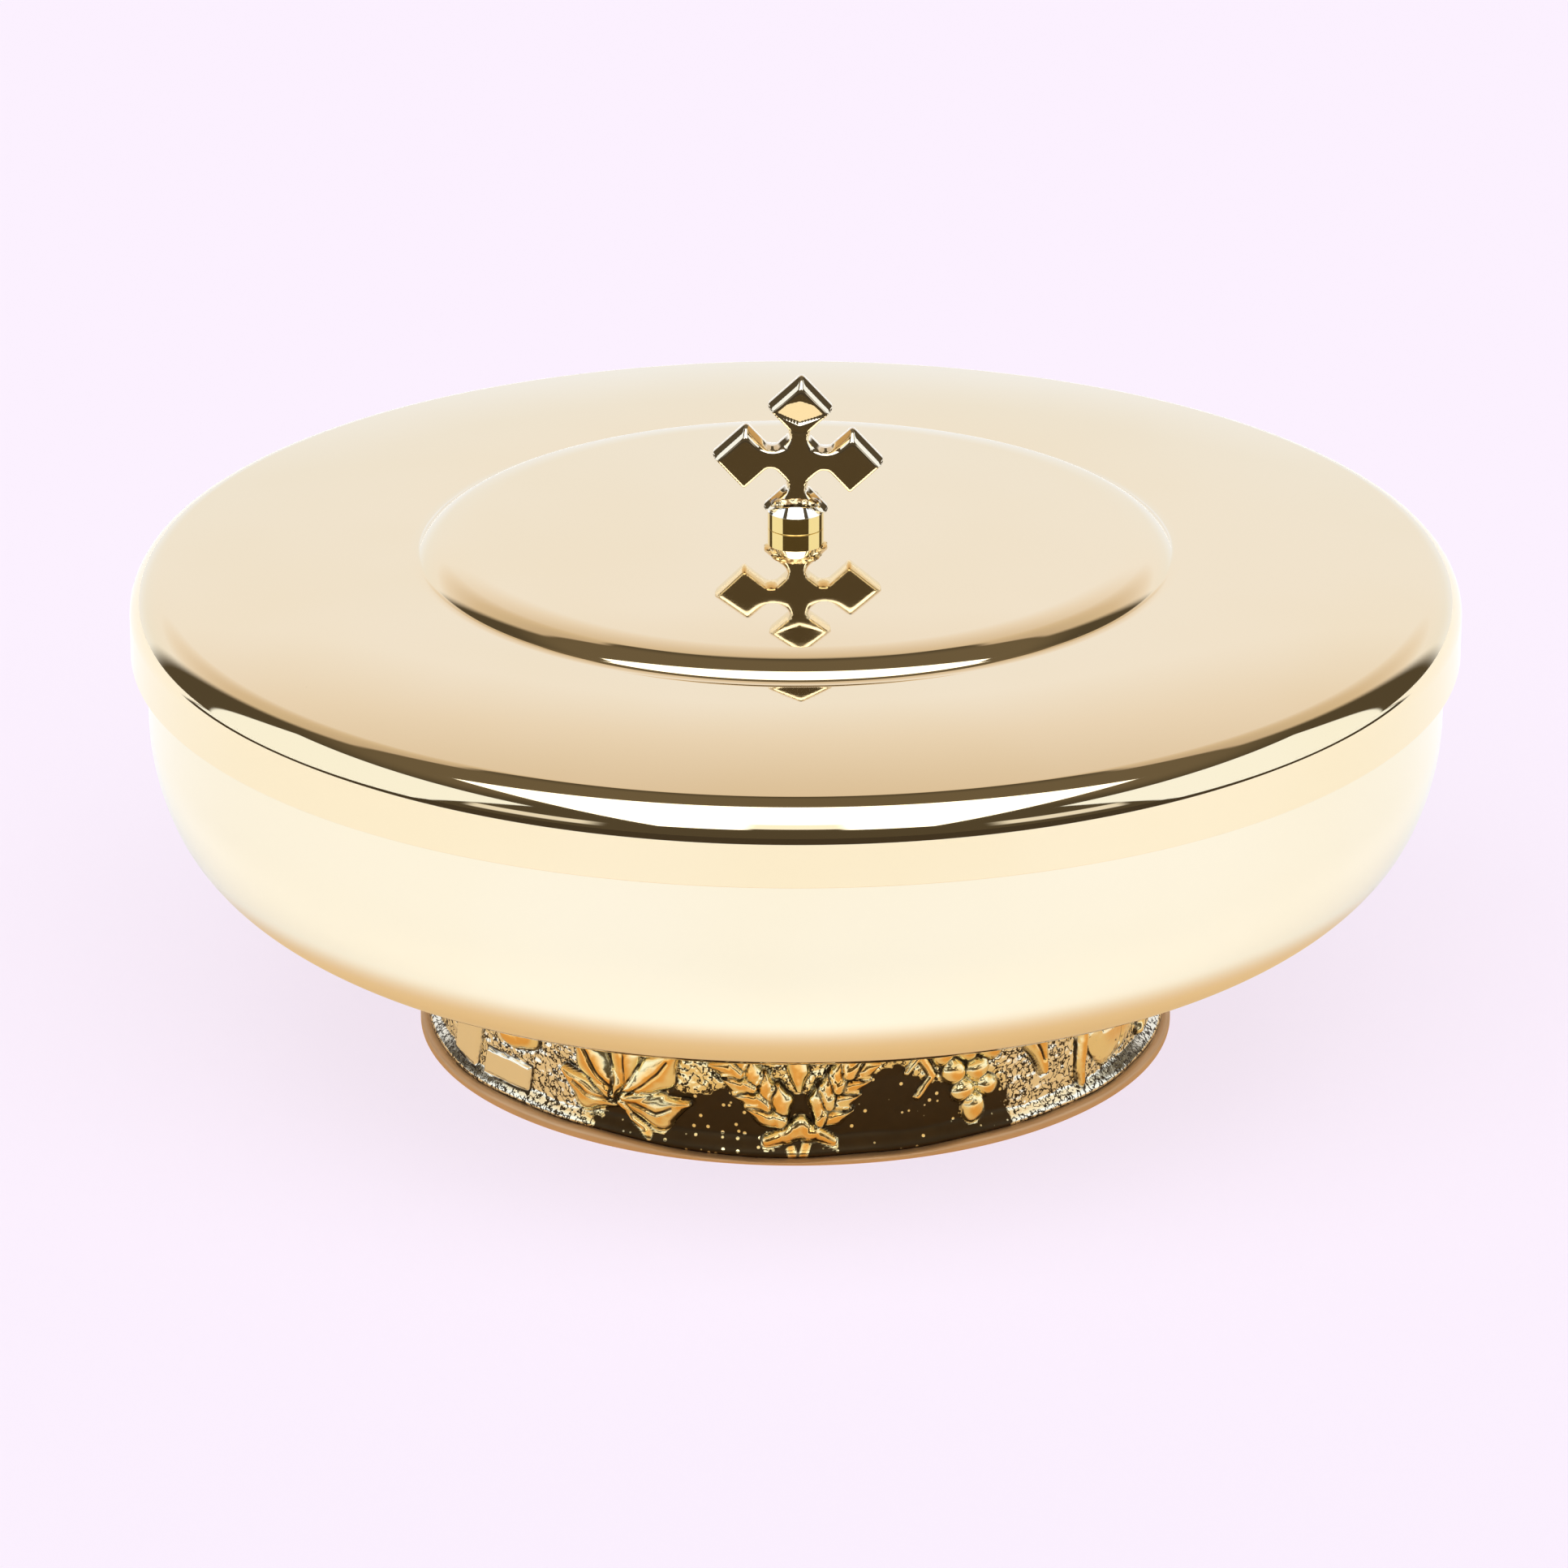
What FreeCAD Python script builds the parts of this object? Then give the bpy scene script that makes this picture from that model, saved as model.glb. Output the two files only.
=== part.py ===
import FreeCAD, Part
import math
import os

# Low ciborium: a shallow spun bowl on a cast ring foot, with a slip-over lid and a small cross.
# Millimetres, +Z up, origin at the centre of the foot's underside.

# Foot
ring_radius = 52.6               # outer face of the cast ring, between its reliefs
ring_wall = 4.6
ring_height = 19.1               # from the base plate's flange to the underside of the bowl
bead_radius = 1.0                # half-round beads at the ring's top and bottom
bead_inset = 1.1                 # their centres, in from the ring's ends
flange_overhang = 2.1            # the base plate's flange, beyond the ring's outer face
flange_thickness = 1.8
flange_edge_round = 0.45
web_thickness = 2.0
head_sunk = 0.6                  # screw's head above the table, in the hollow under the web
register_wall = 3.0              # upright wall of the base plate that centres the ring
register_clearance = 0.15

# Locating pins, pressed into the base plate and the ring
pin_radius = 1.5
pin_length = 6.0
pin_depth_in_flange = 1.2
pin_fit = 0.02

# Bowl
bowl_radius = 92.75              # outer face of the upright wall
bowl_height = 46.0               # underside of the flat bottom to the rim
bowl_sheet = 1.2
side_round = 32.5
side_turn = 23.0                 # degrees turned by the side's large arc
heel_round = 20.2
heel_turn = 43.0                 # degrees turned by the heel's smaller arc
flat_overhang = 0.9              # flat of the bowl's bottom beyond the ring's outer face

# Boss brazed under the bowl, and the screw that ties the foot to it
boss_flange_radius = 14.0
boss_flange_thickness = 2.4
boss_radius = 7.5
boss_gap = 1.6                   # the boss stops short of the base plate's web
screw_radius = 3.0
screw_hole_clearance = 0.3
thread_clearance = 0.05
boss_roof = 2.3                  # solid metal between the tapped hole and the bowl
tapping_spare = 1.5              # the tapped hole goes on past the screw's end
head_radius = 5.2
head_height = 2.3
head_round = 0.5
slot_width = 1.4
slot_depth = 1.0
washer_radius = 8.0
washer_thickness = 1.2
spring_radius = 5.6
spring_thickness = 1.4
spring_gap = 1.2

# Lid
lid_clearance = 1.05             # skirt to bowl wall, all round
lid_sheet = 1.2
seat_gap = 0.25                  # bowl rim to the inside of the lid's shoulder
skirt_straight = 6.1
shoulder_round = 5.3
dome_slope = 7.0                 # degrees, where the dome meets the shoulder
seat_radius = 9.5                # flat middle of the disc, for the finial
disc_radius = 46.5               # the disc is slightly crowned out to here
crown_slope = 2.6                # degrees, at the disc's edge
ease_round = 29.0                # then the step round it: easy at first, tight where it is steep
ease_slope = 10.2
roll_round = 6.4
roll_slope = 43.0                # steepest part of the step
cove_round = 1.0
cove_slope = 10.0
run_out_round = 7.3              # from the cove out to the domed ring

# Finial
collar_radius = 4.0
collar_height = 3.95
collar_wall = 2.45               # upright side, below the sloped crown
collar_top_radius = 3.05
collar_edge_round = 0.3
cross_foot_height = 2.8          # underside of the cross, where it overhangs the crown
solder_gap = 0.03                # between the crown and the cross
lozenge_half = 4.8               # centre to corner, before the corners are rounded
lozenge_pitch = 7.55             # from one lozenge's centre to the next
lowest_cut = 0.3                 # the lowest lozenge ends this far under its centre
notch_round = 1.2
corner_round = 0.6
cross_thickness = 4.6
cross_edge_round = 0.5
cross_lean = 2.4                 # degrees off upright, towards +X
tenon_radius = 1.5
tenon_clearance = 0.2
tenon_reach = 3.0                # length of tenon in the cap nut
backing_radius = 9.0
backing_thickness = 1.0
finial_spring_radius = 2.9
finial_spring_thickness = 0.7
finial_spring_gap = 0.6
nut_across_flats = 5.5
nut_hex_height = 2.4
nut_dome_radius = 2.5
nut_bore_spare = 0.4

up = FreeCAD.Vector(0, 0, 1)
origin = FreeCAD.Vector(0, 0, 0)

# Heights above the table
ring_bottom = flange_thickness
ring_top = ring_bottom + ring_height
bowl_bottom = ring_top
bowl_rim = bowl_bottom + bowl_height
web_bottom = head_sunk + head_height + spring_thickness + washer_thickness
web_top = web_bottom + web_thickness
boss_end = web_top + boss_gap
tapping_end = bowl_bottom - boss_roof
pin_bottom = flange_thickness - pin_depth_in_flange

# Radii that follow from the fits
ring_bore = ring_radius - ring_wall
flange_radius = ring_radius + flange_overhang
pin_circle = (ring_radius + ring_bore) / 2
lid_radius = bowl_radius + lid_clearance + lid_sheet

# The rim's outer corner sits in the round inside of the lid's shoulder
shoulder_inside = shoulder_round - lid_sheet - seat_gap
corner_reach = shoulder_round - lid_sheet - lid_clearance
shoulder_height = bowl_rim - math.sqrt(shoulder_inside ** 2 - corner_reach ** 2)
skirt_bottom = shoulder_height - skirt_straight


def cosine(degrees):
    return math.cos(math.radians(degrees))


def sine(degrees):
    return math.sin(math.radians(degrees))


def at(radius, height):
    return FreeCAD.Vector(radius, 0, height)


def meridian(start, heading, steps, offset=0.0):
    """Edges in the XZ plane through tangent lines and arcs, and the point where they end.

    A step is ("line", length) or ("arc", radius, turn), the turn in degrees, positive to the left.
    offset moves the outline sideways, positive to the left: a sheet's other face.
    """
    edges = []
    here = at(*start)
    for step in steps:
        left = at(-sine(heading), cosine(heading))
        first = here + left * offset
        if step[0] == "line":
            here = here + at(cosine(heading), sine(heading)) * step[1]
            edges.append(Part.LineSegment(first, here + left * offset).toShape())
            continue
        radius, turn = step[1:]
        side = math.copysign(1, turn)
        centre = here + left * (side * radius)
        spokes = [at(sine(a), -cosine(a)) * side for a in (heading + turn / 2, heading + turn)]
        middle, last = [centre + spoke * (radius - side * offset) for spoke in spokes]
        edges.append(Part.Arc(first, middle, last).toShape())
        here = centre + spokes[1] * radius
        heading += turn
    return edges, here


def sheet(start, heading, steps, thickness):
    """A spun shell: the outline, its offset, and a straight cut across each end."""
    outer = meridian(start, heading, steps)[0]
    inner = meridian(start, heading, steps, thickness)[0]
    ends = [Part.LineSegment(outer[i].Vertexes[i].Point, inner[i].Vertexes[i].Point).toShape()
            for i in (0, -1)]
    wire = Part.Wire(Part.__sortEdges__(outer + inner + ends))
    return Part.Face(wire).revolve(origin, up, 360)


def turned(*corners):
    """A turned solid from (radius, height) corners."""
    loop = [at(radius, height) for radius, height in corners + corners[:1]]
    return Part.Face(Part.makePolygon(loop)).revolve(origin, up, 360)


def rod(radius, low, high, x=0.0):
    return Part.makeCylinder(radius, high - low, FreeCAD.Vector(x, 0, low), up)


def slab(width, depth, low, high, x=0.0, y=0.0):
    return Part.makeBox(width, depth, high - low, FreeCAD.Vector(x - width / 2, y - depth / 2, low))


def rims(shape, radius, height):
    """The shape's circular edges of this radius about the axis, at this height."""
    return [edge for edge in shape.Edges
            if isinstance(edge.Curve, Part.Circle)
            and abs(edge.Curve.Radius - radius) < 1e-6
            and abs(edge.Curve.Center.z - height) < 1e-6]


def split_washer(outer, inner, low, high, gap):
    ring = turned((inner, low), (outer, low), (outer, high), (inner, high))
    return ring.cut(slab(outer * 2, gap, low - 1, high + 1, x=outer))


def foot_base():
    """Base plate: a flange under the ring, a register that centres it, and a raised web."""
    hole = screw_radius + screw_hole_clearance
    register = ring_bore - register_clearance
    recess = register - register_wall
    plate = turned((hole, web_bottom), (recess, web_bottom), (recess, 0), (flange_radius, 0),
                   (flange_radius, flange_thickness), (register, flange_thickness),
                   (register, web_top), (hole, web_top))
    edges = rims(plate, flange_radius, 0) + rims(plate, flange_radius, flange_thickness)
    plate = plate.makeFillet(flange_edge_round, edges)
    for x in (-pin_circle, pin_circle):
        plate = plate.cut(rod(pin_radius + pin_fit, pin_bottom, flange_thickness, x))
    return plate


def foot_casting():
    """Cast ring with a bead round its top and bottom; the bowl's flat bottom rests on it."""
    ring = turned((ring_bore, ring_bottom), (ring_radius, ring_bottom),
                  (ring_radius, ring_top), (ring_bore, ring_top))
    for height in (ring_bottom + bead_inset, ring_top - bead_inset):
        ring = ring.fuse(Part.makeTorus(ring_radius, bead_radius, at(0, height), up))
    for x in (-pin_circle, pin_circle):
        ring = ring.cut(rod(pin_radius + pin_fit, ring_bottom, pin_bottom + pin_length + pin_fit, x))
    return ring


def foot_locating_pins():
    return Part.makeCompound([rod(pin_radius, pin_bottom, pin_bottom + pin_length, x)
                              for x in (-pin_circle, pin_circle)])


def bowl_shell():
    """Spun bowl, from its flat bottom out to the floor, the heel, the side and the upright wall."""
    flat = ring_radius + flat_overhang
    floor_turn = 90 - side_turn - heel_turn
    side_reach = side_round * (1 - cosine(side_turn))
    heel_reach = heel_round * (cosine(side_turn) - sine(floor_turn))
    floor_round = (bowl_radius - flat - side_reach - heel_reach) / sine(floor_turn)
    arcs = [("line", flat), ("arc", floor_round, floor_turn), ("arc", heel_round, heel_turn),
            ("arc", side_round, side_turn)]
    wall_start = meridian((0, bowl_bottom), 0, arcs)[1].z
    return sheet((0, bowl_bottom), 0, arcs + [("line", bowl_rim - wall_start)], bowl_sheet)


def bowl_boss():
    """Flanged boss under the bowl, tapped from below for the tie screw."""
    flange_bottom = bowl_bottom - boss_flange_thickness
    boss = turned((0, boss_end), (boss_radius, boss_end), (boss_radius, flange_bottom),
                  (boss_flange_radius, flange_bottom), (boss_flange_radius, bowl_bottom),
                  (0, bowl_bottom))
    return boss.cut(rod(screw_radius + thread_clearance, boss_end, tapping_end))


def foot_washer():
    hole = screw_radius + screw_hole_clearance
    low = web_bottom - washer_thickness
    return turned((hole, low), (washer_radius, low), (washer_radius, web_bottom), (hole, web_bottom))


def foot_spring_washer():
    high = web_bottom - washer_thickness
    return split_washer(spring_radius, screw_radius + screw_hole_clearance,
                        high - spring_thickness, high, spring_gap)


def foot_screw():
    """Slotted pan head under the spring washer, shank up into the boss."""
    head_top = web_bottom - washer_thickness - spring_thickness
    head_low = head_top - head_height
    head = rod(head_radius, head_low, head_top)
    head = head.makeFillet(head_round, rims(head, head_radius, head_low))
    head = head.cut(slab(head_radius * 3, slot_width, head_low - 1, head_low + slot_depth))
    return head.fuse(rod(screw_radius, head_top, tapping_end - tapping_spare)).removeSplitter()


def lid_steps():
    """From the skirt's lower edge, up over the shoulder and in across the dome to the tenon's hole."""
    step = [(run_out_round, 0, cove_slope), (cove_round, cove_slope, roll_slope),
            (roll_round, roll_slope, ease_slope), (ease_round, ease_slope, crown_slope)]
    step_reach = sum(radius * abs(sine(first) - sine(last)) for radius, first, last in step)
    shoulder_reach = shoulder_round * (1 - sine(dome_slope))
    dome_reach = lid_radius - shoulder_reach - step_reach - disc_radius
    crown_round = (disc_radius - seat_radius) / sine(crown_slope)
    return ([("line", skirt_straight),
             ("arc", shoulder_round, 90 - dome_slope),
             ("arc", dome_reach / sine(dome_slope), dome_slope)]
            + [("arc", radius, first - last) for radius, first, last in step]
            + [("arc", crown_round, crown_slope),
               ("line", seat_radius - tenon_radius - tenon_clearance)])


disc_top = meridian((lid_radius, skirt_bottom), 90, lid_steps())[1].z
disc_underside = disc_top - lid_sheet
collar_top = disc_top + collar_height
cross_foot = disc_top + cross_foot_height
cross_centre = cross_foot + lowest_cut + lozenge_pitch
spring_top = disc_underside - backing_thickness
nut_top = spring_top - finial_spring_thickness


def lid_shell():
    return sheet((lid_radius, skirt_bottom), 90, lid_steps(), lid_sheet)


def collar_blank(grown=0.0):
    """Short round collar, sloped up from its side to the foot of the cross, before its hole."""
    radius = collar_radius + grown
    shoulder = disc_top + collar_wall + grown
    blank = turned((0, disc_top), (radius, disc_top), (radius, shoulder),
                   (collar_top_radius + grown, collar_top + grown), (0, collar_top + grown))
    return blank.makeFillet(collar_edge_round, rims(blank, radius, shoulder))


def finial_collar():
    return collar_blank().cut(rod(tenon_radius + thread_clearance, disc_top - 1, collar_top + 1))


def lozenge(x, z):
    side = lozenge_half * math.sqrt(2)
    corner = FreeCAD.Vector(-side / 2, -cross_thickness / 2, -side / 2)
    tile = Part.makeBox(side, cross_thickness, side, corner)
    tile.rotate(origin, FreeCAD.Vector(0, 1, 0), 45)
    tile.translate(FreeCAD.Vector(x, 0, z))
    return tile


def finial_cross():
    """Five lozenges in a cross, cast in one with a threaded tenon; the lowest is seated on the collar."""
    arms = [(0, 1), (0, -1), (1, 0), (-1, 0)]
    plate = lozenge(0, 0)
    for x, z in arms:
        plate = plate.fuse(lozenge(x * lozenge_pitch, z * lozenge_pitch))
    plate = plate.removeSplitter()
    across = [edge for edge in plate.Edges
              if abs(edge.Vertexes[0].Point.y - edge.Vertexes[-1].Point.y) > cross_thickness / 2]
    tip = lozenge_pitch + lozenge_half
    notch = lozenge_pitch / 2
    notches = [e for e in across
               if max(abs(e.Vertexes[0].Point.x), abs(e.Vertexes[0].Point.z)) < notch + 1e-3]
    corners = [e for e in across if not any(e.isSame(n) for n in notches)]
    plate = plate.makeFillet(notch_round, notches)
    corner_points = [e.Vertexes[0].Point for e in corners]
    corners = [e for e in plate.Edges
               if len(e.Vertexes) == 2
               and abs(e.Vertexes[0].Point.y - e.Vertexes[-1].Point.y) > cross_thickness / 2
               and any(math.hypot(e.Vertexes[0].Point.x - p.x, e.Vertexes[0].Point.z - p.z) < 1e-3
                       for p in corner_points)]
    plate = plate.makeFillet(corner_round, corners)
    outline = [e for e in plate.Edges
               if all(abs(abs(v.Point.y) - cross_thickness / 2) < 1e-6 for v in e.Vertexes)
               and abs(e.Vertexes[0].Point.y - e.Vertexes[-1].Point.y) < 1e-6]
    plate = plate.makeFillet(cross_edge_round, outline)
    plate.translate(at(0, cross_centre))
    plate.rotate(at(0, cross_foot), FreeCAD.Vector(0, 1, 0), cross_lean)
    below = slab(tip * 4, tip * 4, cross_foot - tip * 2, cross_foot)
    plate = plate.cut(below).cut(collar_blank(solder_gap))
    return plate.fuse(rod(tenon_radius, nut_top - tenon_reach, collar_top + lowest_cut))


def finial_backing_washer():
    hole = tenon_radius + tenon_clearance
    return turned((hole, spring_top), (backing_radius, spring_top),
                  (backing_radius, disc_underside), (hole, disc_underside))


def finial_spring_washer():
    return split_washer(finial_spring_radius, tenon_radius + tenon_clearance,
                        nut_top, spring_top, finial_spring_gap)


def finial_cap_nut():
    """Hexagon with a round cap below it, tapped from above."""
    corner = nut_across_flats / math.sqrt(3)
    hexagon = Part.makePolygon([FreeCAD.Vector(corner * cosine(60 * i), corner * sine(60 * i), 0)
                                for i in range(7)])
    body = Part.Face(hexagon).extrude(at(0, nut_hex_height))
    body.translate(at(0, nut_top - nut_hex_height))
    cap = Part.makeSphere(nut_dome_radius, at(0, nut_top - nut_hex_height))
    cap = cap.common(rod(nut_dome_radius + 1, nut_top - nut_hex_height - nut_dome_radius,
                         nut_top - nut_hex_height))
    bore = rod(tenon_radius + thread_clearance, nut_top - tenon_reach - nut_bore_spare, nut_top)
    return body.fuse(cap).cut(bore)


pieces = {
    "foot_base": foot_base,
    "foot_casting": foot_casting,
    "foot_locating_pins": foot_locating_pins,
    "foot_washer": foot_washer,
    "foot_spring_washer": foot_spring_washer,
    "foot_screw": foot_screw,
    "bowl_shell": bowl_shell,
    "bowl_boss": bowl_boss,
    "lid_shell": lid_shell,
    "finial_collar": finial_collar,
    "finial_cross": finial_cross,
    "finial_backing_washer": finial_backing_washer,
    "finial_spring_washer": finial_spring_washer,
    "finial_cap_nut": finial_cap_nut,
}

os.makedirs("parts", exist_ok=True)
for name, build in pieces.items():
    shape = build()
    shape.exportStep("parts/" + name + ".step")
    box = shape.BoundBox
    print(f"{name:24} {len(shape.Solids)} solid(s), valid {shape.isValid()}, "
          f"volume {shape.Volume:9.1f}, r {box.XMax:6.2f}, z {box.ZMin:6.2f} to {box.ZMax:6.2f}")
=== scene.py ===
import math

import bpy
import numpy as np
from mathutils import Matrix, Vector
from mathutils.geometry import delaunay_2d_cdt


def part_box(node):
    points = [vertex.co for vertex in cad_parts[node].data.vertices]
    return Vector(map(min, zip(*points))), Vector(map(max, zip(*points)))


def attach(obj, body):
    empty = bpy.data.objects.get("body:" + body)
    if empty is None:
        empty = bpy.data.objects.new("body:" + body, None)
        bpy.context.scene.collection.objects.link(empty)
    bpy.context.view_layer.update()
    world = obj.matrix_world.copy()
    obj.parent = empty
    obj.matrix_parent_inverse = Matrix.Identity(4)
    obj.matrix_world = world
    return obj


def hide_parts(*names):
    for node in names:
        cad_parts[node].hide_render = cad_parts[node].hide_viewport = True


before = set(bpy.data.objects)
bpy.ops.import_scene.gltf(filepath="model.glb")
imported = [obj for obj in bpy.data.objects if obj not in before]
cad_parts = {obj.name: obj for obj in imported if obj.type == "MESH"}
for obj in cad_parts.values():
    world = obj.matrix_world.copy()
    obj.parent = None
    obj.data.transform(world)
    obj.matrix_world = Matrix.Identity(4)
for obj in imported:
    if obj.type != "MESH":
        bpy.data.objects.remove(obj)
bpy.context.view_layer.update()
mm = 0.001


# node helpers: every one takes sockets or plain numbers and gives back a socket

def link(tree, value, socket):
    if isinstance(value, bpy.types.NodeSocket):
        tree.links.new(value, socket)
    else:
        socket.default_value = value


def calc(tree, operation, *values):
    node = tree.nodes.new("ShaderNodeMath")
    node.operation = operation
    for socket, value in zip(node.inputs, values):
        link(tree, value, socket)
    return node.outputs[0]


def product(tree, *factors):
    result = factors[0]
    for factor in factors[1:]:
        result = calc(tree, "MULTIPLY", result, factor)
    return result


def distance(tree, a, b):
    return calc(tree, "SQRT", calc(tree, "ADD", product(tree, a, a), product(tree, b, b)))


def rise(tree, value, low, high, bottom=0.0, top=1.0):
    node = tree.nodes.new("ShaderNodeMapRange")      # smooth step from bottom to top
    node.interpolation_type = "SMOOTHSTEP"
    link(tree, value, node.inputs["Value"])
    node.inputs["From Min"].default_value = low
    node.inputs["From Max"].default_value = high
    node.inputs["To Min"].default_value = bottom
    node.inputs["To Max"].default_value = top
    return node.outputs["Result"]


def within(tree, value, limits):
    return product(tree, rise(tree, value, limits[0], limits[1]), rise(tree, value, limits[2], limits[3]))


def colourMix(tree, factor, first, second):
    node = tree.nodes.new("ShaderNodeMix")
    node.data_type = "RGBA"
    node.clamp_result = False
    link(tree, factor, node.inputs[0])
    for socket, value in ((node.inputs[6], first), (node.inputs[7], second)):
        link(tree, (*value, 1.0) if isinstance(value, tuple) else value, socket)
    return node.outputs[2]


def noise(tree, vector, scale, detail=2.0, rough=0.5):
    node = tree.nodes.new("ShaderNodeTexNoise")
    link(tree, vector, node.inputs["Vector"])
    node.inputs["Scale"].default_value = scale
    node.inputs["Detail"].default_value = detail
    node.inputs["Roughness"].default_value = rough
    return node.outputs["Fac"]


def objectPoint(tree):
    return tree.nodes.new("ShaderNodeTexCoord").outputs["Object"]


def alongLathe(tree, point):
    parts = tree.nodes.new("ShaderNodeSeparateXYZ")  # radius and height, so a texture runs round the axis
    link(tree, point, parts.inputs[0])
    radius = distance(tree, *parts.outputs[:2])
    joined = tree.nodes.new("ShaderNodeCombineXYZ")
    link(tree, radius, joined.inputs[0])
    link(tree, parts.outputs[2], joined.inputs[2])
    return joined.outputs[0]


def bump(tree, height, strength, distance):
    node = tree.nodes.new("ShaderNodeBump")
    node.inputs["Strength"].default_value = strength
    node.inputs["Distance"].default_value = distance
    link(tree, height, node.inputs["Height"])
    return node.outputs["Normal"]


def finish(name):
    material = bpy.data.materials.new(name)
    material.use_nodes = True
    tree = material.node_tree
    shader = next(n for n in tree.nodes if n.type == "BSDF_PRINCIPLED")
    shader.inputs["Metallic"].default_value = 1.0
    return material, tree, shader


def specks(tree, point, scale, far, near, share):
    cell = tree.nodes.new("ShaderNodeTexVoronoi")    # small round spots, in a few of the cells only
    cell.inputs["Scale"].default_value = scale
    tree.links.new(point, cell.inputs["Vector"])
    picked = tree.nodes.new("ShaderNodeSeparateColor")
    tree.links.new(cell.outputs["Color"], picked.inputs[0])
    return product(tree, rise(tree, cell.outputs["Distance"], far, near),
                   calc(tree, "GREATER_THAN", picked.outputs[0], share))


# studio: an overhead panel, side boxes, cards beside the camera, a sweep behind, a dark front
# azimuths run from -Y to either side and elevations from the floor, both in degrees

studio = {
    "background": (0.974, 0.880, 1.0),
    "dark": (0.088, 0.070, 0.045),           # open studio in front
    "ceiling": (0.155, 0.122, 0.078),        # behind the overhead panel
    "ceilingFrom": (40.0, 55.0),
    "overhead": (2.27, 2.30, 2.32),
    "overheadHalf": 0.635,                   # a level panel: half its width and two edges, over its height
    "overheadFlare": 0.155,                  # it is wider towards the front
    "overheadReach": (-2.29, 0.0735),
    "overheadSoft": (0.012, 0.05, 0.008),    # softness of its side, near and far edges
    "shadeSides": (10.0, 7.0),               # a small shade over the camera
    "shadeLayers": ((26.6, 26.0, 0.48), (41.0, 38.0, 0.52)),     # each layer's top edge and strength
    "side": (1.02, 1.10, 1.22),
    "sideBack": (-0.455, -0.425),            # the side boxes' edges, as they stand on a wall one unit away
    "sideFront": (0.536, 0.386),             # its front edge at the floor, and how far that leans forward
    "sideTop": (0.905, 0.88),
    "corner": (0.86, 0.84, 0.82),            # fill cards either side of the camera
    "cornerSides": (31.0, 36.0, 57.0, 54.0),
    "cornerHeight": (6.0, 9.0, 18.0, 16.0),
    "sweep": ((0.0, (0.93, 0.99, 1.13)), (10.0, (0.91, 0.93, 1.00)), (20.0, (0.93, 0.93, 1.00)),
              (25.0, (0.87, 0.81, 0.79)), (30.0, (0.79, 0.70, 0.63)), (35.0, (0.72, 0.605, 0.49)),
              (40.0, (0.67, 0.56, 0.435)), (50.0, (0.58, 0.47, 0.37))),
    "sweepPeak": 1.2,                        # brightest tone that the ramp has to hold
    "sweepSides": (131.0, 141.0),
    "sweepTop": (158.0, 174.0, 50.0, 40.0),  # its upper edge sinks from 50 to 40 degrees, straight behind
    "sweepSoft": 1.2,
    "sweepLift": 3.6,                        # straight behind, its tones sit this much higher
    "liftSides": (150.0, 178.0),
    "liftHeight": (46.0, 38.0),
    "floorSize": 12.0,
    "floorEven": 0.80,                       # share of the floor's tone that is its own, for a soft shadow
    "table": (1.07, 1.095, 1.165),           # the floor as the metal mirrors it
    # painted shadow and warm bounce light under the bowl, in the floor as the metal mirrors it
    "paintedShadowUnderBowl": (0.80, 0.46, 0.19),
    "underBowl": (0.100, 0.062),             # radii, metres
    "beyondTable": (0.060, 0.046, 0.030),
    "tableFront": 0.287,
    "tableSide": 0.47,
    "tableEdge": (0.985, 1.015),
    "tableBack": (0.50, 0.42),
    "sideFoot": (0.536, 0.516),              # where a side box meets the floor
    "sideFootFrom": (0.76, 0.80),
    "byFoot": (0.86, 0.63, 0.35),            # warm glow that only the foot and the bowl's underside mirror
    "byFootReach": (0.104, 0.078),
    "byFootShare": 0.75,
}


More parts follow.
